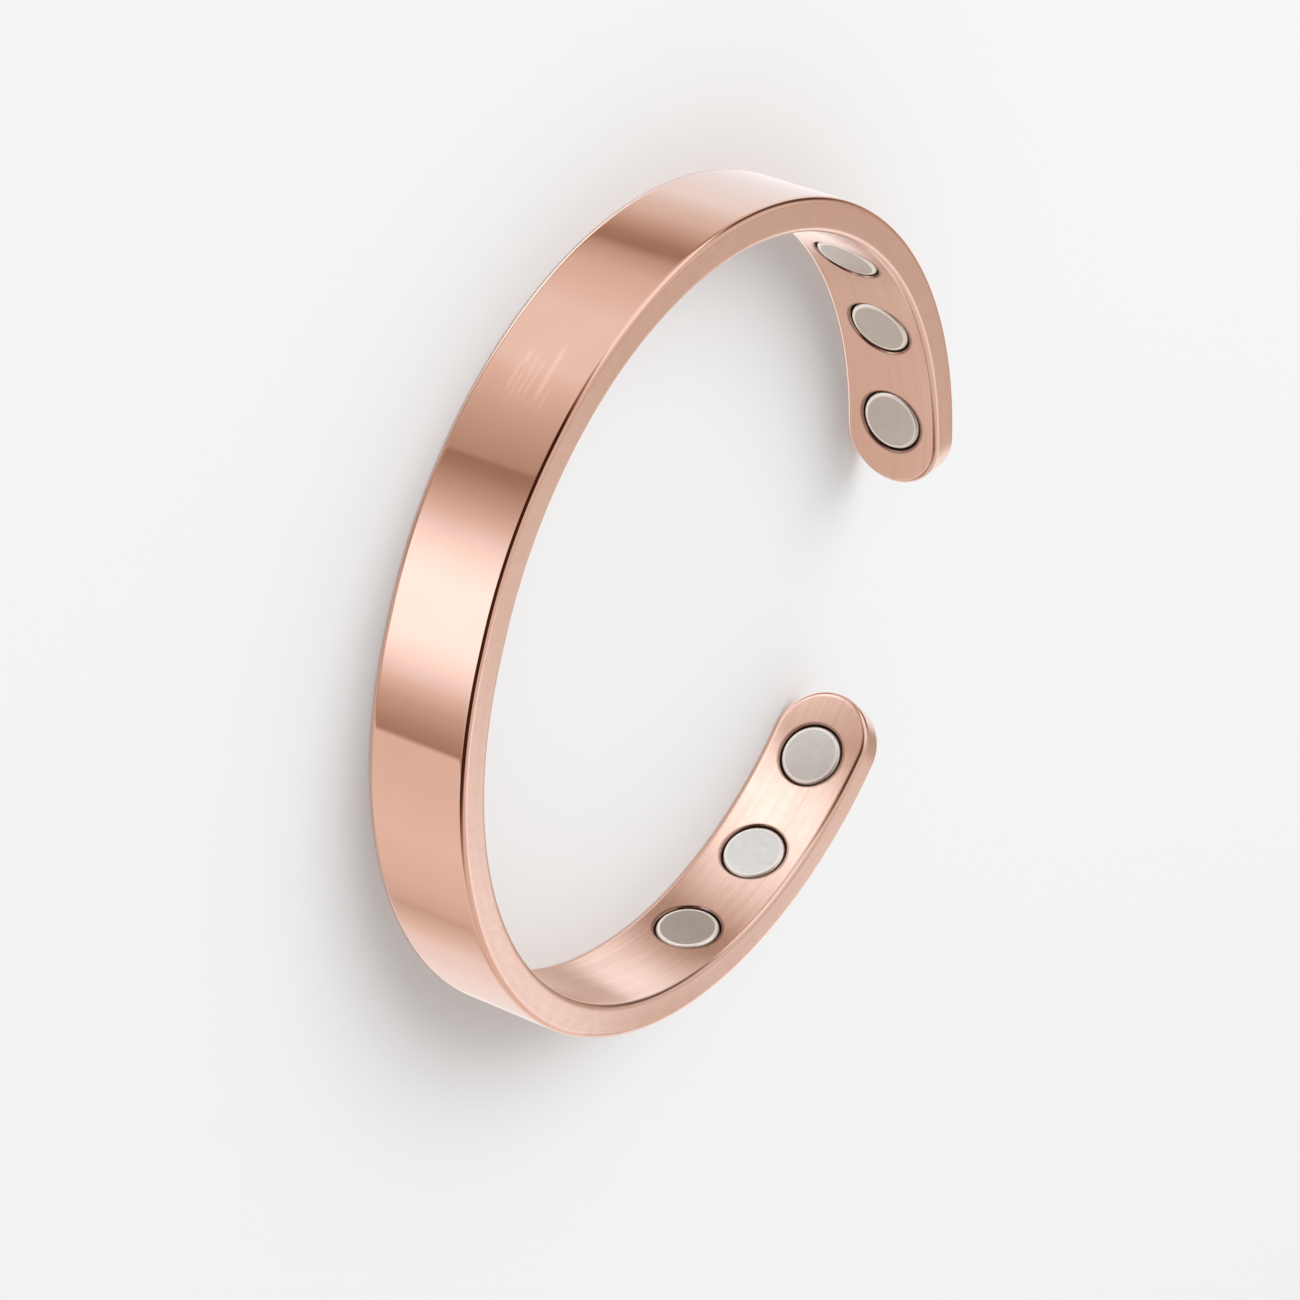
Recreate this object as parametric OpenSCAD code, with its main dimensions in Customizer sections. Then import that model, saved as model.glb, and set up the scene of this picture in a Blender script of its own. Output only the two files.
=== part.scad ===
/* [Oval] */
// Outside length of the cuff, from side to side
cuff_len = 62.6; // [52:0.2:76]
// Length of the straight bit across the middle of the back
back_flat = 1.4; // [0.4:0.1:16]
// Straight distance between the two rounded tips, where the wrist slips in
gap = 18; // [10:0.5:30]

/* [Band] */
// Width of the band, along the wrist
band_w = 8; // [6.5:0.25:12]
// Thickness of the band
band_t = 2.6; // [2.2:0.1:4]
// Rounding of the long edges and of the two round ends
edge_r = 0.4; // [0.2:0.05:0.6]

/* [Magnets] */
// Diameter of one disc magnet
magnet_d = 4.8; // [3.5:0.1:5.2]
// Thickness of one disc magnet
magnet_t = 1.5; // [0.8:0.1:1.8]
// Bevel around the face of one magnet
magnet_bevel = 0.2; // [0.1:0.05:0.4]
// Height of a magnet's face above the middle of the inner face round it
magnet_proud = 0.05; // [0:0.05:0.2]
// Distance between neighbouring magnets, along the middle of the band
magnet_pitch = 9.5; // [6.5:0.1:11]
// Distance from the tip of the band to the middle of the last magnet
tip_to_magnet = 5.4; // [4.5:0.1:8]

/* [Fit] */
// Gap all round each magnet in its pocket
rim_gap = 0.15; // [0.05:0.05:0.3]
// Film of glue under each magnet
glue_gap = 0.05; // [0.02:0.01:0.1]

/* [Hidden] */
$fn = 180;
corner_fn = 32;
per_end = 3;

// The band's mid-line is a short straight bit across the back and, on each
// side of it, one round bend that runs past the side to the front.
bend_r = (cuff_len - band_t - back_flat) / 2;
bend_x = back_flat / 2;

// Each end is a half round about a point cap_turn degrees round the bend from
// the front, placed so that the tips lie the gap apart.
cap_r = band_w / 2;
cap_turn = asin((gap / 2 - bend_x) / norm([bend_r, cap_r])) + atan(cap_r / bend_r);

// The pocket is drilled from well inside the cuff, so that it opens cleanly,
// and each bend is swept a little past the back's straight bit and cut there.
pocket_d = magnet_d + 2 * rim_gap;
pocket_depth = magnet_t - magnet_proud + glue_gap;
drill_over = 1;
sweep_over = 3;

// The origin lies under the middle of the outer box: the back of the cuff is
// its lowest y, and the outer edge of the tips is its highest.
back_y = -bend_r - band_t / 2;
tip_y = (bend_r + band_t / 2 - edge_r) * cos(cap_turn) + (cap_r - edge_r) * sin(cap_turn) + edge_r;
shift_y = -(back_y + tip_y) / 2;

// Magnets 1 to 3 sit on the arm at -X and magnets 4 to 6 on the arm at +X.
// Counting goes on round the cuff, so 3 and 4 are the last ones at the back
// of each arm, and 1 and 6 are the ones next to the tips.
function from_tip(i) = i <= per_end ? i - 1 : 2 * per_end - i;
function magnet_run(i) = tip_to_magnet - cap_r + from_tip(i) * magnet_pitch;

// Puts its children on the band's mid-line, a run along it from the middle of
// the round end, with +X out of the cuff and +Y away from the tip. The run is
// negative in the round end, which is flat.
module on_band(run, left) {
    mirror([left ? 0 : 1, 0, 0])
        translate([-bend_x, 0, 0])
            rotate([0, 0, 90 + cap_turn + max(run, 0) / bend_r * 180 / PI])
                translate([bend_r, min(run, 0), 0])
                    children();
}

// The band's cross-section: a rectangle with its four corners rounded
module section() {
    square([band_t - 2 * edge_r, band_w], center = true);
    square([band_t, band_w - 2 * edge_r], center = true);
    for (x = [-1, 1], y = [-1, 1])
        translate([x * (band_t / 2 - edge_r), y * (band_w / 2 - edge_r)])
            circle(edge_r, $fn = corner_fn);
}

// The half round end: the half of the cross-section above the band's middle
// line, turned half a circle about the line through the band's thickness
module round_end() {
    rotate([0, 90, 0])
        rotate([0, 0, 180])
            rotate_extrude(angle = 180)
                intersection() {
                    rotate(90)
                        section();
                    translate([0, -band_t])
                        square([band_w, 2 * band_t]);
                }
}

// One arm: the round bend and its half round end, cut square where the bend
// meets the back's straight bit
module arm(left) {
    mirror([left ? 0 : 1, 0, 0])
        difference() {
            translate([-bend_x, 0, 0])
                rotate([0, 0, 90 + cap_turn]) {
                    rotate_extrude(angle = 180 - cap_turn + sweep_over)
                        translate([bend_r, 0])
                            section();
                    translate([bend_r, 0, 0])
                        round_end();
                }
            translate([-bend_x, -2 * bend_r, -band_w])
                cube([bend_r, 2 * bend_r, 2 * band_w]);
        }
}

// The straight bit across the back, between the two bends
module back() {
    translate([-bend_x, -bend_r, 0])
        rotate([90, 0, 90])
            linear_extrude(back_flat)
                section();
}

// A blind round pocket in the inner face, its floor square to the magnet
module pocket() {
    translate([pocket_depth - band_t / 2, 0, 0])
        rotate([0, -90, 0])
            cylinder(h = pocket_depth + drill_over, d = pocket_d);
}

// A disc magnet with a bevelled face, lying in its pocket with the face
// towards the wrist
module disc() {
    r = magnet_d / 2;
    translate([magnet_t - magnet_proud - band_t / 2, 0, 0])
        rotate([0, -90, 0])
            rotate_extrude()
                polygon([
                    [0, 0],
                    [r, 0],
                    [r, magnet_t - magnet_bevel],
                    [r - magnet_bevel, magnet_t],
                    [0, magnet_t]
                ]);
}

// Moves what is drawn about the bends' centres to the part's origin
module to_origin() {
    translate([0, shift_y, band_w / 2])
        children();
}

// The solid copper band, bent from one flat strip
module band() {
    color([0.80, 0.52, 0.42])
        to_origin()
            difference() {
                union() {
                    back();
                    arm(left = true);
                    arm(left = false);
                }
                for (i = [1 : 2 * per_end])
                    on_band(magnet_run(i), i <= per_end)
                        pocket();
            }
}

// Magnet number i, glued into its pocket
module magnet(i) {
    color([0.72, 0.70, 0.66])
        to_origin()
            on_band(magnet_run(i), i <= per_end)
                disc();
}

band();
magnet(1);  // magnet_1
magnet(2);  // magnet_2
magnet(3);  // magnet_3
magnet(4);  // magnet_4
magnet(5);  // magnet_5
magnet(6);  // magnet_6
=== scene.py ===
import math

import bpy
from mathutils import Matrix, Vector


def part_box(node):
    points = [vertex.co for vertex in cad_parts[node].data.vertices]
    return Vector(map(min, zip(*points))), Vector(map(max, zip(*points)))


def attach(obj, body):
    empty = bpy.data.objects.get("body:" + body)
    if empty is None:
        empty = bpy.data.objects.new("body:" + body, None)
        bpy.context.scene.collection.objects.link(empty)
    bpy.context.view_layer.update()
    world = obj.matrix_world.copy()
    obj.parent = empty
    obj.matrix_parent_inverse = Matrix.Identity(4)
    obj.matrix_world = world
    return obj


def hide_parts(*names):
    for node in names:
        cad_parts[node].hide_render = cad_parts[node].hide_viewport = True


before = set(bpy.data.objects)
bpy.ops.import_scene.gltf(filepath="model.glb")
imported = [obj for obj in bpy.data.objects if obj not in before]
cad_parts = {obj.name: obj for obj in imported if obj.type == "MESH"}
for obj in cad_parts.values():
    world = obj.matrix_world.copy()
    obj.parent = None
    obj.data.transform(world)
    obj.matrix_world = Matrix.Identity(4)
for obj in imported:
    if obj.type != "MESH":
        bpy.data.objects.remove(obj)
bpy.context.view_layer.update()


# The copper band: one solid strip with half round ends, milled with six blind
# pockets and bent cold into a near-round cuff. The outside is buffed to a
# mirror, the edges are satin, and the inside is brushed along its length.

BAND_WIDTH = 8.0
BAND_THICKNESS = 2.594
EDGE_ROUNDING = 0.4
BEND_RADIUS = 29.3
HALF_BACK = 0.7
OPENING = 18.0
ROUND_END = BAND_WIDTH / 2
END_TURN = math.pi - (
    math.asin((OPENING / 2 - HALF_BACK) / math.hypot(BEND_RADIUS, ROUND_END))
    + math.atan(ROUND_END / BEND_RADIUS)
)
HALF_STRIP = HALF_BACK + BEND_RADIUS * END_TURN
BACK_TO_MID_LINE = 1.3
BEND_CENTRE_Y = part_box("band")[0].y * 1000 + BEND_RADIUS + BACK_TO_MID_LINE
MAGNET_PITCH = 9.5
LAST_MAGNET_IN = 1.4
POCKET_RADIUS = 2.55
POCKET_DEPTH = 1.5
POCKET_LIP = 0.06


def plug(tree, socket, value):
    """Joins a value, a socket or an amount to an input of a node."""
    if isinstance(value, Amount):
        value = value.socket
    if isinstance(value, bpy.types.NodeSocket):
        tree.links.new(value, socket)
    else:
        socket.default_value = value


def put(tree, kind, feeds=None, **settings):
    """Puts a node in a tree with its settings and what its inputs are fed."""
    node = tree.nodes.new(kind)
    for name, value in settings.items():
        setattr(node, name, value)
    for key, value in (feeds or {}).items():
        plug(tree, node.inputs[key], value)
    return node


class Amount:
    """A number in a node tree that may differ from point to point."""

    def __init__(self, tree, socket):
        self.tree, self.socket = tree, socket

    def by(self, operation, *others):
        node = put(self.tree, "ShaderNodeMath", {0: self}, operation=operation)
        for place, other in enumerate(others, 1):
            plug(self.tree, node.inputs[place], other)
        return Amount(self.tree, node.outputs[0])

    def __add__(self, other):
        return self.by("ADD", other)

    def __sub__(self, other):
        return self.by("SUBTRACT", other)

    def __rsub__(self, other):
        return self.by("MULTIPLY", -1.0).by("ADD", other)

    def __mul__(self, other):
        return self.by("MULTIPLY", other)

    def __truediv__(self, other):
        return self.by("DIVIDE", other)

    __radd__ = __add__
    __rmul__ = __mul__

    def held(self, low=0.0, high=1.0):
        return self.by("MAXIMUM", low).by("MINIMUM", high)

    def ease(self, start, end, before=0.0, after=1.0):
        """Goes smoothly from before to after, as this number goes from start to end."""
        feeds = {
            "Value": self,
            "From Min": start,
            "From Max": end,
            "To Min": before,
            "To Max": after,
        }
        node = put(self.tree, "ShaderNodeMapRange", feeds, interpolation_type="SMOOTHSTEP")
        return Amount(self.tree, node.outputs[0])


def parts_of(tree, vector):
    """The three numbers of a vector."""
    node = put(tree, "ShaderNodeSeparateXYZ", {0: vector})
    return [Amount(tree, out) for out in node.outputs]


def vector_of(tree, x, y, z):
    return put(tree, "ShaderNodeCombineXYZ", {0: x, 1: y, 2: z}).outputs[0]


def scaled(tree, vector, factor):
    feeds = {0: vector, "Scale": factor}
    return put(tree, "ShaderNodeVectorMath", feeds, operation="SCALE").outputs[0]


def here(tree):
    """Where each point of the mesh lies."""
    return put(tree, "GeometryNodeInputPosition").outputs[0]


def ask(tree, name, kind, value=None):
    """Gives a tree a named input, and returns its identifier."""
    socket = tree.interface.new_socket(name, in_out="INPUT", socket_type="NodeSocket" + kind)
    if value is not None:
        socket.default_value = value
    return socket.identifier


def new_rule(name, sizes):
    """A Geometry Nodes tree that asks for sizes and a finish.

    Gives the tree, the identifiers of its inputs, its sizes and its finish.
    """
    tree = bpy.data.node_groups.new(name, "GeometryNodeTree")
    tree.interface.new_socket("Geometry", in_out="OUTPUT", socket_type="NodeSocketGeometry")
    asks = {label: ask(tree, label, "Float", value) for label, value in sizes.items()}
    asks["Finish"] = ask(tree, "Finish", "Material")
    asked = put(tree, "NodeGroupInput").outputs
    return tree, asks, [Amount(tree, asked[label]) for label in sizes], asked["Finish"]


def flat_grid(tree, columns, rows):
    """A flat grid to bend into shape, and each point's column and row, from 0."""
    feeds = {
        "Size X": float(columns),
        "Size Y": float(rows),
        "Vertices X": columns + 1,
        "Vertices Y": rows + 1,
    }
    grid = put(tree, "GeometryNodeMeshGrid", feeds)
    x, y, _ = parts_of(tree, here(tree))
    return grid.outputs["Mesh"], x + columns / 2, y + rows / 2


def share(count, start, steps):
    """How much of a stretch of steps the count has gone through, from 0 to 1."""
    return ((count - start) / steps).held()


def moved(tree, geometry, place):
    feeds = {"Geometry": geometry, "Position": place}
    return put(tree, "GeometryNodeSetPosition", feeds).outputs[0]


def welded(tree, geometry):
    """Joins the grid's meeting edges, so that the surface is closed."""
    feeds = {"Geometry": geometry, "Distance": 0.0005}
    return put(tree, "GeometryNodeMergeByDistance", feeds).outputs[0]


def marked(tree, geometry, name, value, data_type, domain):
    """Keeps a value on the mesh under a name, for its finish to read."""
    feeds = {"Geometry": geometry, "Name": name, "Value": value}
    settings = {"data_type": data_type, "domain": domain}
    return put(tree, "GeometryNodeStoreNamedAttribute", feeds, **settings).outputs[0]


def bend(tree, along, across, outward, radius, half_back, end_turn):
    """Takes a place on the flat strip to its place on the bent cuff, in millimetres.

    Gives the place, the direction out of the cuff and the direction along it.
    """
    side = along.by("SIGN")
    run = along.by("ABSOLUTE") - half_back
    turn = (run / radius).held(0.0, end_turn)
    past = run - turn * radius
    sin, cos = turn.by("SINE"), turn.by("COSINE")
    reach = outward + radius
    x = side * (reach * sin + past * cos + half_back)
    y = past * sin - reach * cos + BEND_CENTRE_Y
    place = vector_of(tree, x, y, across + BAND_WIDTH / 2)
    out = vector_of(tree, side * sin, cos * -1.0, 0.0)
    forward = vector_of(tree, cos, side * sin, 0.0)
    return place, out, forward


def seat_of_magnet(number):
    """How far along the strip magnet 1 to 6 sits. 1 and 6 are next to the tips."""
    from_tip = (number - 3.5).by("ABSOLUTE") - 2.5
    side = (number - 3.5).by("SIGN")
    return side * (from_tip * MAGNET_PITCH + (HALF_STRIP - LAST_MAGNET_IN))


def facing_in(tree, out, forward):
    """The turn that points a piece's Z into the cuff and its X along the strip."""
    feeds = {"Primary Axis": scaled(tree, out, -1.0), "Secondary Axis": forward}
    axes = {"primary_axis": "Z", "secondary_axis": "X"}
    return put(tree, "FunctionNodeAxesToRotation", feeds, **axes).outputs[0]


def finish_rule(tree, geometry, crease_angle, finish):
    """Shades the mesh smoothly but for its creases, and ends the tree with it in metres."""
    feeds = {0: geometry, "Shade Smooth": True}
    smooth = put(tree, "GeometryNodeSetShadeSmooth", feeds, domain="FACE").outputs[0]
    turn = Amount(tree, put(tree, "GeometryNodeInputMeshEdgeAngle").outputs[0])
    crease = turn.by("GREATER_THAN", crease_angle)
    feeds = {0: smooth, "Selection": crease, "Shade Smooth": False}
    creased = put(tree, "GeometryNodeSetShadeSmooth", feeds, domain="EDGE").outputs[0]
    feeds = {"Geometry": creased, "Scale": (0.001, 0.001, 0.001)}
    in_metres = put(tree, "GeometryNodeTransform", feeds).outputs[0]
    realized = put(tree, "GeometryNodeRealizeInstances", {"Geometry": in_metres}).outputs[0]
    feeds = {"Geometry": realized, "Material": finish}
    finished = put(tree, "GeometryNodeSetMaterial", feeds).outputs[0]
    put(tree, "NodeGroupOutput", {0: finished})


SIDE_STEPS, END_STEPS = 212, 44
FACE_ROWS, ROUNDING_ROWS, EDGE_ROWS = 6, 8, 6
QUARTER_TURN = math.pi / 2

band_sizes = {
    "Bend radius": BEND_RADIUS,
    "Half of the flat back": HALF_BACK,
    "Turn of the bend": END_TURN,
    "Width": BAND_WIDTH,
    "Thickness": BAND_THICKNESS,
    "Edge rounding": EDGE_ROUNDING,
    "Pocket radius": POCKET_RADIUS,
    "Pocket depth": POCKET_DEPTH,
    "Pocket lip": POCKET_LIP,
}
rule, band_asks, sizes, finish = new_rule("bent strip with pockets", band_sizes)
radius, half_back, end_turn, width, thickness, rounding = sizes[:6]
pocket_radius, pocket_depth, lip = sizes[6:]
band_rule = rule

# A grid of stations round the strip's outline and rows round its section
# becomes the flat strip, and then the cuff.
stations = 2 * (SIDE_STEPS + END_STEPS)
rows = 2 * (FACE_ROWS + ROUNDING_ROWS) + EDGE_ROWS
grid, station, row = flat_grid(rule, stations, rows)
second_side = SIDE_STEPS + END_STEPS
half_strip = half_back + radius * end_turn
there_and_back = share(station, 0, SIDE_STEPS) - share(station, second_side, SIDE_STEPS)
core = half_strip * (2.0 * there_and_back - 1.0)
spoke = QUARTER_TURN - math.pi * (
    share(station, SIDE_STEPS, END_STEPS) + share(station, second_side + SIDE_STEPS, END_STEPS)
)
first_rounding = FACE_ROWS
edge_start = first_rounding + ROUNDING_ROWS
second_rounding = edge_start + EDGE_ROWS
outer_start = second_rounding + ROUNDING_ROWS
inner = share(row, 0, FACE_ROWS)
first_turn = share(row, first_rounding, ROUNDING_ROWS) * QUARTER_TURN
edge = share(row, edge_start, EDGE_ROWS)
second_turn = share(row, second_rounding, ROUNDING_ROWS) * QUARTER_TURN
outer = share(row, outer_start, FACE_ROWS)
from_core = (
    (width / 2 - rounding) * (inner * (2.0 - inner) - outer * outer)
    + rounding * (first_turn.by("SINE") + second_turn.by("COSINE") - 1.0)
)
outward = (
    thickness * -0.5
    + rounding * (1.0 - first_turn.by("COSINE") + second_turn.by("SINE"))
    + (thickness - rounding * 2.0) * (edge * edge * (3.0 - edge * 2.0))
)
along = core + from_core * spoke.by("COSINE")
across = from_core * spoke.by("SINE")
place, _, _ = bend(rule, along, across, outward, radius, half_back, end_turn)
closed = welded(rule, moved(rule, grid, place))

# The cutter for one pocket: a drill that opens a little at its mouth and
# follows the curve of the inner face there.
DRILL_OVER = 0.5
LIP_HEIGHT = 0.11
DRILL_SIDES, DRILL_RINGS = 72, 20
drill_length = pocket_depth + DRILL_OVER
drill = put(
    rule,
    "GeometryNodeMeshCylinder",
    {
        "Vertices": DRILL_SIDES,
        "Side Segments": DRILL_RINGS,
        "Radius": pocket_radius,
        "Depth": drill_length,
    },
)
drill_x, drill_y, drill_z = parts_of(rule, here(rule))
height = drill_z + drill_length / 2 - pocket_depth
widen = 1.0 + height.ease(-LIP_HEIGHT, 0.0) * lip / pocket_radius
inner_radius = radius - thickness / 2
curve_rise = inner_radius - (inner_radius * inner_radius - drill_x * drill_x).by("SQRT")
follow = height.ease(-0.9, -0.3)
drill_place = vector_of(rule, drill_x * widen, drill_y * widen, height + curve_rise * follow)
shaped_drill = moved(rule, drill.outputs["Mesh"], drill_place)
number = Amount(rule, put(rule, "GeometryNodeInputIndex").outputs[0]) + 1.0
place, out, forward = bend(
    rule, seat_of_magnet(number), 0.0, thickness * -0.5, radius, half_back, end_turn
)
six_points = put(rule, "GeometryNodePoints", {"Count": 6}).outputs[0]
drills = put(
    rule,
    "GeometryNodeInstanceOnPoints",
    {
        "Points": moved(rule, six_points, place),
        "Instance": shaped_drill,
        "Rotation": facing_in(rule, out, forward),
    },
)
real_drills = put(rule, "GeometryNodeRealizeInstances", {"Geometry": drills.outputs[0]})
milled = put(
    rule,
    "GeometryNodeMeshBoolean",
    {"Mesh 1": closed, "Mesh 2": real_drills.outputs[0]},
    operation="DIFFERENCE",
    solver="EXACT",
)

# The way back from the cuff to the flat strip gives each point its place
# along, across and out of the strip, which the finish follows.
here_x, here_y, here_z = parts_of(rule, here(rule))
side_x = here_x.by("ABSOLUTE") - half_back
below = BEND_CENTRE_Y - here_y
turned = side_x.by("MAXIMUM", 0.0).by("ARCTAN2", below).held(0.0, end_turn)
sin, cos = turned.by("SINE"), turned.by("COSINE")
strip_along = here_x.by("SIGN") * (half_back + turned * radius + side_x * cos - below * sin)
strip_across = here_z - BAND_WIDTH / 2
strip_out = side_x * sin + below * cos - radius
strip_place = vector_of(rule, strip_along, strip_across, strip_out)
with_strip = marked(rule, milled.outputs[0], "strip", strip_place, "FLOAT_VECTOR", "POINT")
in_pocket = (
    strip_out.by("GREATER_THAN", thickness * -0.5 + 0.09)
    * strip_out.by("LESS_THAN", 0.4)
    * strip_across.by("ABSOLUTE").by("LESS_THAN", pocket_radius + 0.1)
    * strip_along.by("ABSOLUTE").by("LESS_THAN", half_strip + 2.0)
)
with_pockets = marked(rule, with_strip, "pocket", in_pocket, "FLOAT", "FACE")
finish_rule(rule, with_pockets, 0.45, finish)


# Wear that the copper and the nickel share: fine scratches from use, and the
# dull marks that fingers leave.


def new_wear(name, inputs):
    """An empty shader group with named inputs, which gives a mask."""
    tree = bpy.data.node_groups.new(name, "ShaderNodeTree")
    for label, value in inputs.items():
        if value is None:
            ask(tree, label, "Vector")
        else:
            ask(tree, label, "Float", value)
    tree.interface.new_socket("Mask", in_out="OUTPUT", socket_type="NodeSocketFloat")
    asked = put(tree, "NodeGroupInput").outputs
    amounts = [Amount(tree, asked[label]) for label, value in inputs.items() if value is not None]
    return tree, asked["Place"], amounts


scratches, wear_place, wear_sizes = new_wear(
    "fine scratches",
    {
        "Place": None,
        "Cell size": 2.0,
        "Line width": 0.02,
        "Share of cells": 0.5,
        "Lean": 0.0,
        "Spread": 1.0,
    },
)
cell_size, line_width, share_of_cells, lean, spread = wear_sizes
scratch_x, scratch_y, _ = parts_of(scratches, wear_place)
all_lines = None
for layer in range(3):
    u = scratch_x / cell_size + 0.37 * layer
    v = scratch_y / cell_size + 0.61 * layer
    cell_corner = vector_of(scratches, u.by("FLOOR"), v.by("FLOOR"), 7.0 * layer)
    cell = put(
        scratches, "ShaderNodeTexWhiteNoise", {"Vector": cell_corner}, noise_dimensions="3D"
    )
    chance_r, chance_g, chance_b = parts_of(scratches, cell.outputs["Color"])
    angle = lean + (chance_r - 0.5) * spread
    sin, cos = angle.by("SINE"), angle.by("COSINE")
    centred_u = u.by("FRACT") - 0.5 + (chance_g - 0.5) * 0.4
    centred_v = v.by("FRACT") - 0.5 + (chance_b - 0.5) * 0.4
    off_line = (centred_v * cos - centred_u * sin).by("ABSOLUTE") * cell_size
    along_line = (centred_u * cos + centred_v * sin).by("ABSOLUTE")
    there = Amount(scratches, cell.outputs["Value"]).by("LESS_THAN", share_of_cells)
    line = off_line.ease(line_width, line_width * 0.3) * along_line.ease(0.32, 0.1) * there
    all_lines = line if all_lines is None else all_lines.by("MAXIMUM", line)
put(scratches, "NodeGroupOutput", {"Mask": all_lines})

smudges, wear_place, wear_sizes = new_wear(
    "finger marks", {"Place": None, "Scale": 0.12, "Sharpness": 0.2}
)
smudge_scale, sharpness = wear_sizes
cloudy = put(
    smudges,
    "ShaderNodeTexNoise",
    {
        "Vector": wear_place,
        "Scale": smudge_scale,
        "Detail": 4.0,
        "Roughness": 0.6,
        "Distortion": 0.6,
    },
)
mask = Amount(smudges, cloudy.outputs[0]).ease(0.5 - sharpness, 0.5 + sharpness)
put(smudges, "NodeGroupOutput", {"Mask": mask})


# The copper's finish: bare metal, a mirror on the outside, with a lighter
# brushed inside and edges, and painted shade with glue residue where it meets the magnets.

COPPER = (0.80, 0.53, 0.44, 1.0)
COPPER_DULL = (0.73, 0.47, 0.38, 1.0)
COPPER_BRUSHED = (0.80, 0.575, 0.49, 1.0)
COPPER_STREAK = (0.66, 0.42, 0.34, 1.0)
COPPER_SCRATCHED = (1.0, 0.72, 0.61, 1.0)
POCKET_MOUTH_SHADE_AND_GLUE = (0.30, 0.18, 0.14, 1.0)
POCKET_SHADE_AND_GLUE = (0.34, 0.19, 0.145, 1.0)


def mixed(tree, factor, first, second, blend="MIX"):
    settings = {"data_type": "RGBA", "blend_type": blend}
    return put(tree, "ShaderNodeMix", {0: factor, 6: first, 7: second}, **settings).outputs[2]


def wear(tree, group, place, **sizes):
    """Places one of the shared wear groups in a material."""
    node = put(tree, "ShaderNodeGroup", {}, node_tree=group)
    plug(tree, node.inputs["Place"], place)
    for name, value in sizes.items():
        node.inputs[name.replace("_", " ").capitalize()].default_value = value
    return Amount(tree, node.outputs["Mask"])


def noise(tree, place, detail, roughness):
    feeds = {"Vector": place, "Scale": 1.0, "Detail": detail, "Roughness": roughness}
    return Amount(tree, put(tree, "ShaderNodeTexNoise", feeds).outputs[0])


def kept_on(tree, name, output):
    """What the mesh keeps under a name."""
    return put(tree, "ShaderNodeAttribute", attribute_name=name).outputs[output]


def new_finish(name):
    material = bpy.data.materials.new(name)
    material.use_nodes = True
    tree = material.node_tree
    return material, tree, tree.nodes["Principled BSDF"]


def metal(tree, shader, tone, shine, relief):
    """Gives a metal its colour, its roughness and its fine relief in millimetres."""
    feeds = {"Height": relief, "Distance": 0.001, "Strength": 1.0}
    plug(tree, shader.inputs["Base Color"], tone)
    plug(tree, shader.inputs["Roughness"], shine)
    plug(tree, shader.inputs["Metallic"], 1.0)
    plug(tree, shader.inputs["Normal"], put(tree, "ShaderNodeBump", feeds).outputs[0])


copper, tree, shader = new_finish("copper_polished_and_brushed")
strip_place = kept_on(tree, "strip", "Vector")
pocket_mask = Amount(tree, kept_on(tree, "pocket", "Fac"))
along, across, out = parts_of(tree, strip_place)
polished = out.ease(0.86, 0.98)
inside = out.ease(-1.12, -1.24) * (1.0 - pocket_mask)
edge_face = 1.0 - polished - inside

# Painted shade and glue residue darken the mouth of each pocket, which is found from its seat.
from_last = HALF_STRIP - LAST_MAGNET_IN - along.by("ABSOLUTE")
seat = (from_last / MAGNET_PITCH).by("ROUND").held(0.0, 2.0)
off_seat = from_last - seat * MAGNET_PITCH
mouth = (off_seat * off_seat + across * across).by("SQRT").ease(2.88, 2.70) * inside

# Brushing lines run along the strip, and break off here and there.
brushing = noise(tree, vector_of(tree, along * 0.11, across * 7.0, out * 7.0), 5.0, 0.65)
coarse_brushing = noise(tree, vector_of(tree, along * 0.06, across * 1.9, out * 1.9), 3.0, 0.5)
marks = wear(tree, smudges, strip_place, scale=0.16, sharpness=0.22)
fine_marks = wear(tree, smudges, strip_place, scale=1.1, sharpness=0.3)
long_scratches = wear(
    tree,
    scratches,
    strip_place,
    cell_size=3.4,
    line_width=0.018,
    share_of_cells=0.3,
    lean=0.0,
    spread=0.4,
)
cross_scratches = wear(
    tree,
    scratches,
    strip_place,
    cell_size=1.3,
    line_width=0.03,
    share_of_cells=0.75,
    lean=1.35,
    spread=0.5,
)

# The outside is rubbed at one place: a long stroke and a bunch of short ones
# beside it. Each has its middle along and across the strip, its length, its
# breadth, its lean and its strength.
RUBBED_PLACE = -18.0
RUB_STROKES = [
    (-18.4, 0.87, 4.8, 0.34, 0.01, 0.6),
    (-18.9, -1.3, 1.3, 0.36, 0.0, 0.4),
    (-18.6, -0.6, 1.8, 0.32, 0.0, 0.3),
    (-17.4, -1.5, 2.4, 0.26, 0.02, 0.4),
    (-17.0, -1.0, 2.6, 0.22, 0.0, 0.35),
    (-17.2, -0.5, 2.4, 0.22, -0.02, 0.4),
    (-17.6, 0.0, 2.8, 0.24, -0.01, 0.35),
    (-16.4, 1.5, 2.0, 0.26, 0.0, 0.25),
]


def stroke(middle_along, middle_across, length, breadth, lean, strength):
    """How much of one stroke, faint at its ends, lies at a place on the strip."""
    u, v = along - middle_along, across - middle_across
    down = (u * math.cos(lean) + v * math.sin(lean)).by("ABSOLUTE")
    aside = (v * math.cos(lean) - u * math.sin(lean)).by("ABSOLUTE")
    return down.ease(length * 0.6, length * 0.2) * aside.ease(breadth, 0.0) * strength


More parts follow.
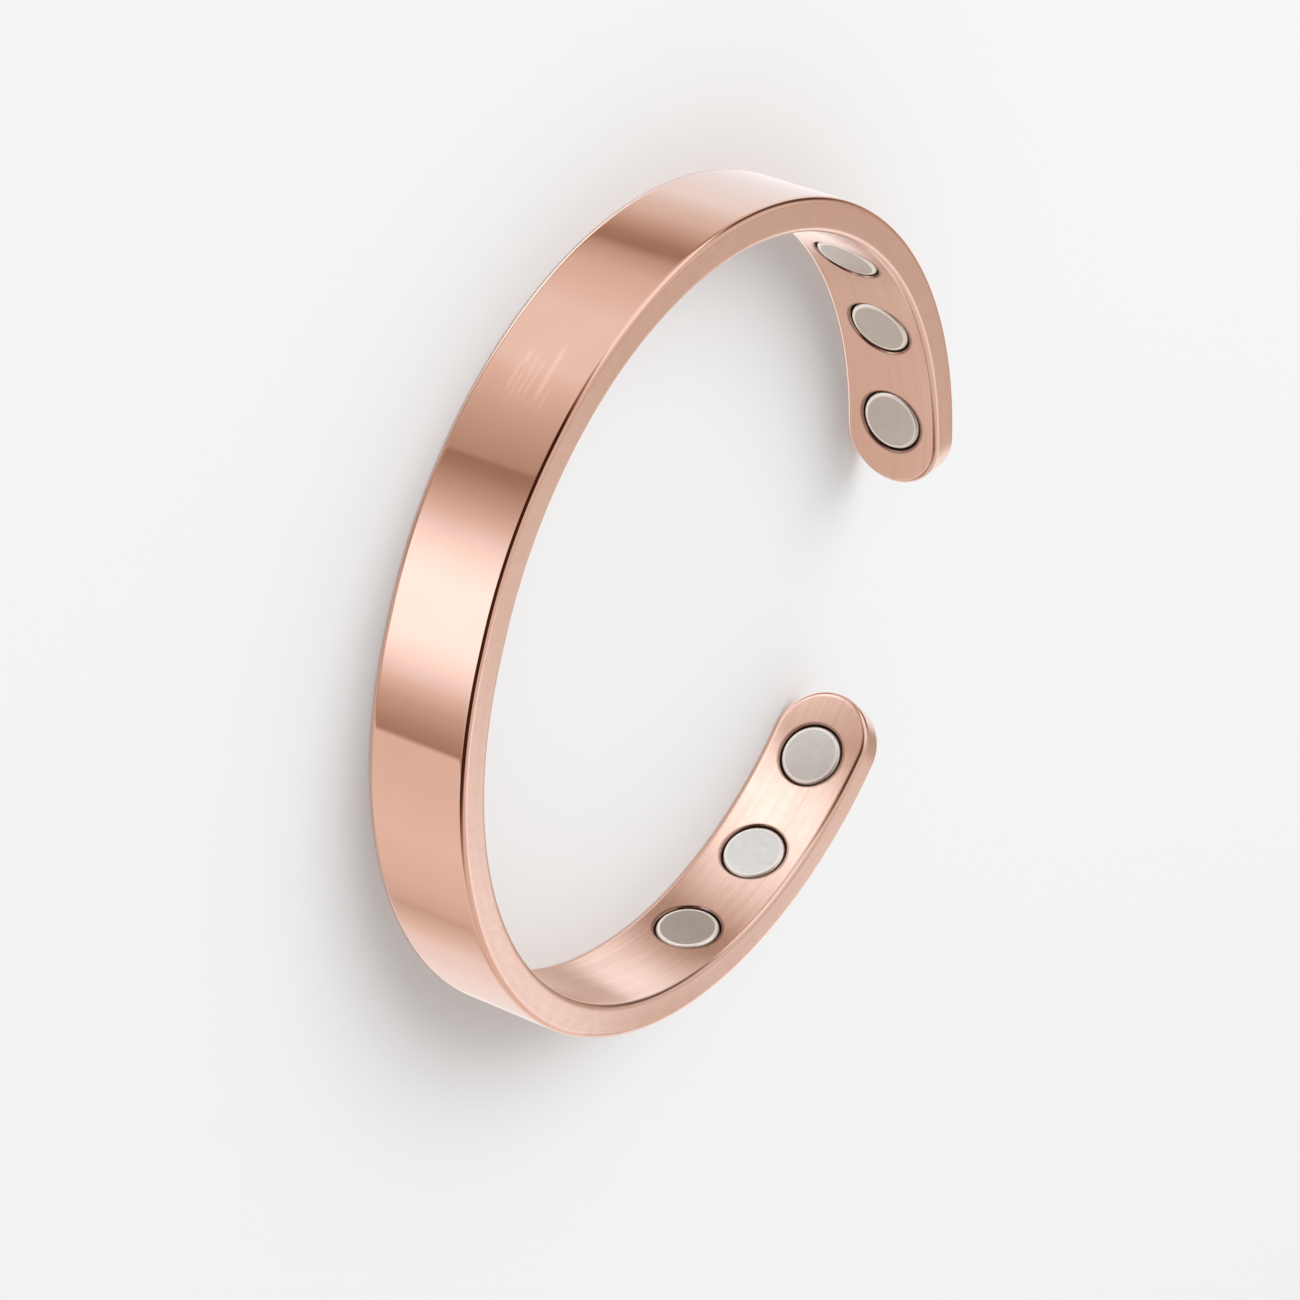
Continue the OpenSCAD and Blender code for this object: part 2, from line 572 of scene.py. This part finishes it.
strokes = stroke(*RUB_STROKES[0])
for shape in RUB_STROKES[1:]:
    strokes = strokes.by("MAXIMUM", stroke(*shape))
strokes = strokes * (0.7 + fine_marks * 0.3) * polished
off_rubbed = along - RUBBED_PLACE
from_rubbed = (off_rubbed * off_rubbed + across * across * 2.0).by("SQRT")
rubbed = from_rubbed.ease(4.4, 1.6)
wear_lines = (long_scratches * 0.6).by("MAXIMUM", cross_scratches * rubbed * 0.6)

tone = mixed(tree, marks * 0.3, COPPER, COPPER_DULL)
tone = mixed(tree, (inside * 0.7 + edge_face).held(), tone, COPPER_BRUSHED)
streaks = brushing.ease(0.4, 0.72) * 0.2 + coarse_brushing.ease(0.42, 0.68) * 0.22
tone = mixed(tree, streaks * (inside + edge_face * 0.5), tone, COPPER_STREAK)
worn = wear_lines * polished * 0.45 + strokes + rubbed * 0.08
tone = mixed(tree, worn, tone, COPPER_SCRATCHED)
# Painted shade and glue residue darken the copper round each pocket's mouth.
tone = mixed(tree, mouth * 0.85, tone, POCKET_MOUTH_SHADE_AND_GLUE)
# Painted shade and glue residue darken the walls and floors of the pockets.
tone = mixed(tree, pocket_mask, tone, POCKET_SHADE_AND_GLUE)
shine = (
    polished * (0.022 + marks * 0.02 + wear_lines * 0.22 + rubbed * 0.05 + strokes * 0.1)
    + edge_face * (0.2 + fine_marks * 0.08)
    + inside * (0.15 + fine_marks * 0.05 + coarse_brushing * 0.08)
)
shine = shine * (1.0 - pocket_mask) + pocket_mask * 0.4
relief = (
    inside * (brushing * 0.0018 + coarse_brushing * 0.0035)
    + edge_face * (brushing * 0.001 + fine_marks * 0.004)
    + (fine_marks * 0.0002 - wear_lines * 0.0012) * polished
)
metal(tree, shader, tone, shine, relief)


def built(name, rule, settings):
    """Runs a rule once and keeps the result as a plain mesh object at the origin."""
    carrier = bpy.data.objects.new(name + "_rule", bpy.data.meshes.new(name + "_rule"))
    bpy.context.scene.collection.objects.link(carrier)
    modifier = carrier.modifiers.new("rule", "NODES")
    modifier.node_group = rule
    for identifier, value in settings.items():
        modifier[identifier] = value
    evaluated = carrier.evaluated_get(bpy.context.evaluated_depsgraph_get())
    mesh = bpy.data.meshes.new_from_object(evaluated)
    mesh.name = name
    for place in reversed(range(len(mesh.materials))):
        if mesh.materials[place] is None:
            mesh.materials.pop(index=place)
    carrier.modifiers.remove(modifier)
    bpy.data.objects.remove(carrier)
    piece = bpy.data.objects.new(name, mesh)
    bpy.context.scene.collection.objects.link(piece)
    return piece


copper_band = built("copper_band", band_rule, {band_asks["Finish"]: copper})
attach(copper_band, "root")
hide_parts("band")


# The six disc magnets: small sintered discs, nickel plated, with tumbled round
# rims, glued into the pockets so that their faces lie level with the inside of
# the band.

MAGNET_STEPS = 96
MAGNET_FACE_ROWS, MAGNET_RIM_ROWS = 6, 8

magnet_sizes = {
    "Number": 1.0,
    "Diameter": 4.8,
    "Thickness": 1.5,
    "Height above the band": 0.05,
    "Rim rounding": 0.26,
}
rule, magnet_asks, sizes, finish = new_rule("disc magnet in its seat", magnet_sizes)
magnet_number, diameter, magnet_thickness, proud, rim = sizes

grid, step, row = flat_grid(rule, MAGNET_STEPS, MAGNET_FACE_ROWS + MAGNET_RIM_ROWS + 2)
round_angle = step * (-2 * math.pi / MAGNET_STEPS)
wall_row = MAGNET_FACE_ROWS + MAGNET_RIM_ROWS
face_share = share(row, 0, MAGNET_FACE_ROWS)
rim_turn = share(row, MAGNET_FACE_ROWS, MAGNET_RIM_ROWS) * QUARTER_TURN
wall_share = share(row, wall_row, 1)
bottom_share = share(row, wall_row + 1, 1)
face_reach = (diameter / 2 - rim) * (face_share * (2.0 - face_share))
reach = (face_reach + rim * rim_turn.by("SINE")) * (1.0 - bottom_share)
rim_drop = rim * (1.0 - rim_turn.by("COSINE"))
rise = magnet_thickness - rim_drop - (magnet_thickness - rim) * wall_share
disc_place = vector_of(
    rule,
    reach * round_angle.by("COSINE"),
    reach * round_angle.by("SINE"),
    rise - magnet_thickness + proud,
)
disc = welded(rule, moved(rule, grid, disc_place))
with_disc = marked(rule, disc, "disc", here(rule), "FLOAT_VECTOR", "POINT")
seat = seat_of_magnet(magnet_number)
seat_place, seat_out, seat_forward = bend(
    rule, seat, 0.0, -BAND_THICKNESS / 2, BEND_RADIUS, HALF_BACK, END_TURN
)
seated = put(
    rule,
    "GeometryNodeTransform",
    {
        "Geometry": with_disc,
        "Translation": seat_place,
        "Rotation": facing_in(rule, seat_out, seat_forward),
    },
)
finish_rule(rule, seated.outputs[0], 0.6, finish)

NICKEL = (0.61, 0.595, 0.575, 1.0)
NICKEL_WARM = (0.56, 0.53, 0.505, 1.0)
NICKEL_GREY = (0.53, 0.54, 0.53, 1.0)
NICKEL_RIM_HIGHLIGHT = (0.97, 0.95, 0.92, 1.0)

nickel, tree, shader = new_finish("nickel_satin")
disc_place = kept_on(tree, "disc", "Vector")
whole_place = scaled(tree, put(tree, "ShaderNodeTexCoord").outputs["Object"], 1000.0)
x, y, _ = parts_of(tree, disc_place)
on_rim = (x * x + y * y).by("SQRT").ease(2.03, 2.13)
clouds = wear(tree, smudges, whole_place, scale=0.5, sharpness=0.2)
fine_clouds = wear(tree, smudges, whole_place, scale=2.2, sharpness=0.3)
disc_scratches = wear(
    tree,
    scratches,
    disc_place,
    cell_size=1.3,
    line_width=0.018,
    share_of_cells=0.3,
    lean=0.4,
    spread=3.0,
)
tone = mixed(tree, clouds * 0.6, NICKEL, NICKEL_WARM)
tone = mixed(tree, fine_clouds * 0.35, tone, NICKEL_GREY)
# The rounded rim is painted near white: a painted highlight for the bright ring it mirrors.
tone = mixed(tree, on_rim, tone, NICKEL_RIM_HIGHLIGHT)
face_shine = 0.27 + fine_clouds * 0.06 - disc_scratches * 0.03
shine = face_shine * (1.0 - on_rim) + on_rim * 0.5
metal(tree, shader, tone, shine, fine_clouds * 0.0015 - disc_scratches * 0.001)

for number in range(1, 7):
    settings = {magnet_asks["Number"]: float(number), magnet_asks["Finish"]: nickel}
    magnet = built(f"disc_magnet_{number}", rule, settings)
    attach(magnet, "root")
    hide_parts(f"magnet_{number}")


# The floor, the light and the camera: a plain pale floor that the cuff lies
# on, in a studio whose soft boxes and dark screens stand round it, and the
# camera where the photograph was taken.

BELOW_THE_BAND = -0.00002


def shown(name, data):
    """Puts a mesh, a light or a camera in the scene."""
    thing = bpy.data.objects.new(name, data)
    bpy.context.scene.collection.objects.link(thing)
    return thing


floor_mesh = bpy.data.meshes.new("floor")
floor_mesh.from_pydata([(-4, -4, 0), (4, -4, 0), (4, 4, 0), (-4, 4, 0)], [], [(0, 1, 2, 3)])
floor = shown("floor", floor_mesh)
floor_paint, tree, shader = new_finish("pale_floor")
shader.inputs["Base Color"].default_value = (0.80, 0.80, 0.80, 1.0)
shader.inputs["Roughness"].default_value = 0.9
shader.inputs["Specular IOR Level"].default_value = 0.1
floor_mesh.materials.append(floor_paint)
floor.location.z = BELOW_THE_BAND
floor.visible_glossy = False
floor.visible_shadow = False

# How bright the studio is in each direction round the cuff, in degrees from
# the front towards the left: soft boxes above 1, screens below 0.6.
LOW_STUDIO = [
    (-180, 1.08), (-163, 1.04), (-147, 0.97), (-131, 1.04), (-115, 1.02), (-107, 0.88),
    (-99.5, 0.7), (-97, 0.78), (-88, 0.9), (-72, 0.96), (-43.2, 0.9), (-42.7, 0.46),
    (-38, 0.55), (-32, 0.72), (-24, 1.1), (-15, 1.58), (-4, 1.62), (3, 1.44), (11, 1.06),
    (19, 0.72), (27, 0.45), (30.4, 0.4), (30.8, 0.56), (45, 0.76), (60, 1.02), (78, 1.03),
    (95, 0.86), (103, 0.64), (106.4, 0.42), (110, 0.46), (123, 0.86), (137, 1.08),
]
HIGH_STUDIO = [
    (-180, 0.6), (-172, 0.66), (-164, 0.88), (-159, 1.4), (-150, 1.1), (-130, 0.9),
    (-76, 0.8), (-60, 0.3), (-50, 0.06), (46, 0.06), (58, 0.5), (68, 1.2), (108, 1.25),
    (118, 0.2), (152, 0.16), (168, 0.55),
]
# The card under the floor that only the inside of the cuff looks down on, in
# degrees round its middle from the cuff's opening towards the right.
CARD = [
    (-180, 0.5), (-140, 0.55), (-132, 0.7), (-125, 1.22), (-117, 1.6), (-110, 1.95),
    (-103, 2.0), (-95, 2.0), (-89, 1.9), (-83, 1.7), (-76, 1.55), (-69, 1.3), (-63, 1.08),
    (-57, 0.95), (-52, 0.8), (-47, 0.56), (-41, 0.33), (-35, 0.28), (-28, 0.42),
    (-21, 0.8), (-14, 1.12), (-7, 1.28), (0, 1.3), (7, 1.22), (9, 0.64), (15, 0.6),
    (24, 0.7), (34, 0.78), (48, 0.76), (70, 0.76), (104, 0.72), (115, 0.7),
]
OVERHEAD_LEVEL = 0.85
UNDERNEATH_LEVEL = 0.65


def round_the_cuff(tree, azimuth, levels):
    """The brightness that a list of (azimuth, level) gives, as a smooth ring."""
    ramp = put(tree, "ShaderNodeValToRGB", {0: azimuth / 360.0 + 0.5})
    stops = ramp.color_ramp.elements
    while len(stops) < len(levels):
        stops.new(0.5)
    for stop, (degrees, level) in zip(stops, levels):
        stop.position = degrees / 360.0 + 0.5
    for stop, (degrees, level) in zip(stops, levels):
        stop.color = (level, level, level, 1.0)
    return Amount(tree, ramp.outputs[0])


def light_colour(tree, level):
    """Soft boxes are neutral, and what is left dark between them is a warm brown."""
    colour = (1.0, 0.42, 0.27, 1.0)
    for start, end, brighter in [
        (0.05, 0.3, (1.0, 0.66, 0.46, 1.0)),
        (0.25, 0.9, (1.0, 0.89, 0.81, 1.0)),
        (0.88, 1.12, (1.0, 1.0, 1.02, 1.0)),
        (1.2, 1.7, (0.95, 1.0, 1.03, 1.0)),
    ]:
        colour = mixed(tree, level.ease(start, end), colour, brighter)
    return colour


world = bpy.data.worlds.new("studio")
bpy.context.scene.world = world
world.use_nodes = True
tree = world.node_tree
x, y, z = parts_of(tree, put(tree, "ShaderNodeTexCoord").outputs["Generated"])
azimuth = (x * -1.0).by("ARCTAN2", y * -1.0) * (180 / math.pi)
elevation = z.by("ARCSINE") * (180 / math.pi)
low = round_the_cuff(tree, azimuth, LOW_STUDIO)
high = round_the_cuff(tree, azimuth, HIGH_STUDIO)
lift = azimuth.by("ABSOLUTE").ease(44.0, 72.0, 0.0, 9.0)
rising = (elevation - lift).ease(-14.0, -5.0)
overhead = (elevation - azimuth.ease(108.0, 118.0, 50.0, 22.0)).ease(0.0, 12.0)
underneath = elevation.ease(-42.0, -55.0)
level = low * (1.0 - rising) + high * rising
level = level * (1.0 - overhead) + overhead * OVERHEAD_LEVEL
level = level * (1.0 - underneath) + underneath * UNDERNEATH_LEVEL
coolness = azimuth.ease(110.0, 140.0) * azimuth.ease(180.0, 160.0)
cool = mixed(tree, coolness, light_colour(tree, level), (0.93, 1.03, 1.07, 1.0), "MULTIPLY")
mirrored = tree.nodes["Background"]
plug(tree, mirrored.inputs["Color"], cool)
plug(tree, mirrored.inputs["Strength"], level)
daylight = put(tree, "ShaderNodeBackground", {"Color": (1.0, 1.0, 1.0, 1.0), "Strength": 0.8})
backdrop = put(tree, "ShaderNodeBackground", {"Color": (0.91, 0.91, 0.91, 1.0), "Strength": 1.0})
path = put(tree, "ShaderNodeLightPath").outputs
feeds = {0: path["Is Glossy Ray"], 1: daylight.outputs[0], 2: mirrored.outputs[0]}
lit = put(tree, "ShaderNodeMixShader", feeds)
feeds = {0: path["Is Camera Ray"], 1: lit.outputs[0], 2: backdrop.outputs[0]}
all_seen = put(tree, "ShaderNodeMixShader", feeds)
plug(tree, tree.nodes["World Output"].inputs["Surface"], all_seen.outputs[0])


def mirrored_only(name, corners):
    """Makes a flat shape that only mirrors see, and gives its empty node tree too."""
    mesh = bpy.data.meshes.new(name)
    mesh.from_pydata(corners, [], [tuple(range(len(corners)))])
    paint, tree, shader = new_finish(name)
    tree.nodes.remove(shader)
    mesh.materials.append(paint)
    thing = shown(name, mesh)
    thing.visible_camera = False
    thing.visible_diffuse = False
    thing.visible_shadow = False
    thing.visible_transmission = False
    thing.visible_volume_scatter = False
    return thing, tree


def glowing(tree, tone, level):
    """Ends a node tree in a plain glow."""
    glow = put(tree, "ShaderNodeEmission", {"Color": tone, "Strength": level})
    plug(tree, tree.nodes["Material Output"].inputs["Surface"], glow.outputs[0])


# The card reaches further where the cuff's arms look down on it.
CARD_DEPTH = -0.025
CARD_CORNERS = 96


def card_reach(degrees):
    off_front = abs((degrees + 170) % 360 - 180)
    wider = 0.010 * max(0.0, min(1.0, (115 - off_front) / 70))
    bulge = 0.014 * math.exp(-(((off_front - 8) / 22) ** 2))
    return 0.042 + wider + bulge


card_ring = []
for corner in range(CARD_CORNERS):
    turn = 2 * math.pi * corner / CARD_CORNERS
    reach = card_reach(math.degrees(turn))
    card_ring.append((reach * math.sin(turn), reach * math.cos(turn), CARD_DEPTH))
card_ring.reverse()
card, tree = mirrored_only("inner_card", card_ring)
x, y, z = parts_of(tree, put(tree, "ShaderNodeTexCoord").outputs["Object"])
level = round_the_cuff(tree, x.by("ARCTAN2", y) * (180 / math.pi), CARD)
glowing(tree, light_colour(tree, level), level)

# A small brown screen stands over the right of the cuff, where the edge of
# the arm next to the opening mirrors it. Its corners are in millimetres.
SCREEN_CORNERS = [(42.2, 36.5), (60.0, 36.5), (60.0, 66.0), (33.0, 62.5), (40.6, 49.0)]
SCREEN_HEIGHT = 30.0
SCREEN_TONE = (0.66, 0.53, 0.45, 1.0)

screen_ring = [(x / 1000, y / 1000, SCREEN_HEIGHT / 1000) for x, y in SCREEN_CORNERS]
screen, tree = mirrored_only("side_screen", screen_ring)
glowing(tree, SCREEN_TONE, 1.0)

key_data = bpy.data.lights.new("key_softbox", "AREA")
key_data.shape = "DISK"
key_data.size = 1.1
key_data.energy = 7.5
key = shown("key_softbox", key_data)
key.location = (-0.75, 0.15, 0.9)
key.rotation_mode = "QUATERNION"
key.rotation_quaternion = (-Vector(key.location)).to_track_quat("-Z", "Y")
key.visible_glossy = False

camera_data = bpy.data.cameras.new("photo_camera")
camera_data.sensor_width = 36.0
camera_data.lens = 128.26
camera_data.clip_start = 0.01
camera_data.clip_end = 20.0
camera = shown("photo_camera", camera_data)
camera_place = (-0.06662, -0.28105, 0.16580)
camera_right = Vector((-0.22143, 0.5299, 0.81864)).normalized()
camera_back = Vector((-0.21093, -0.84563, 0.49032)).normalized()
camera_up = camera_back.cross(camera_right).normalized()
camera_right = camera_up.cross(camera_back)
camera_turn = Matrix((camera_right, camera_up, camera_back)).transposed().to_4x4()
camera.matrix_world = Matrix.Translation(camera_place) @ camera_turn
bpy.context.scene.camera = camera
bpy.context.scene.view_settings.view_transform = "Standard"
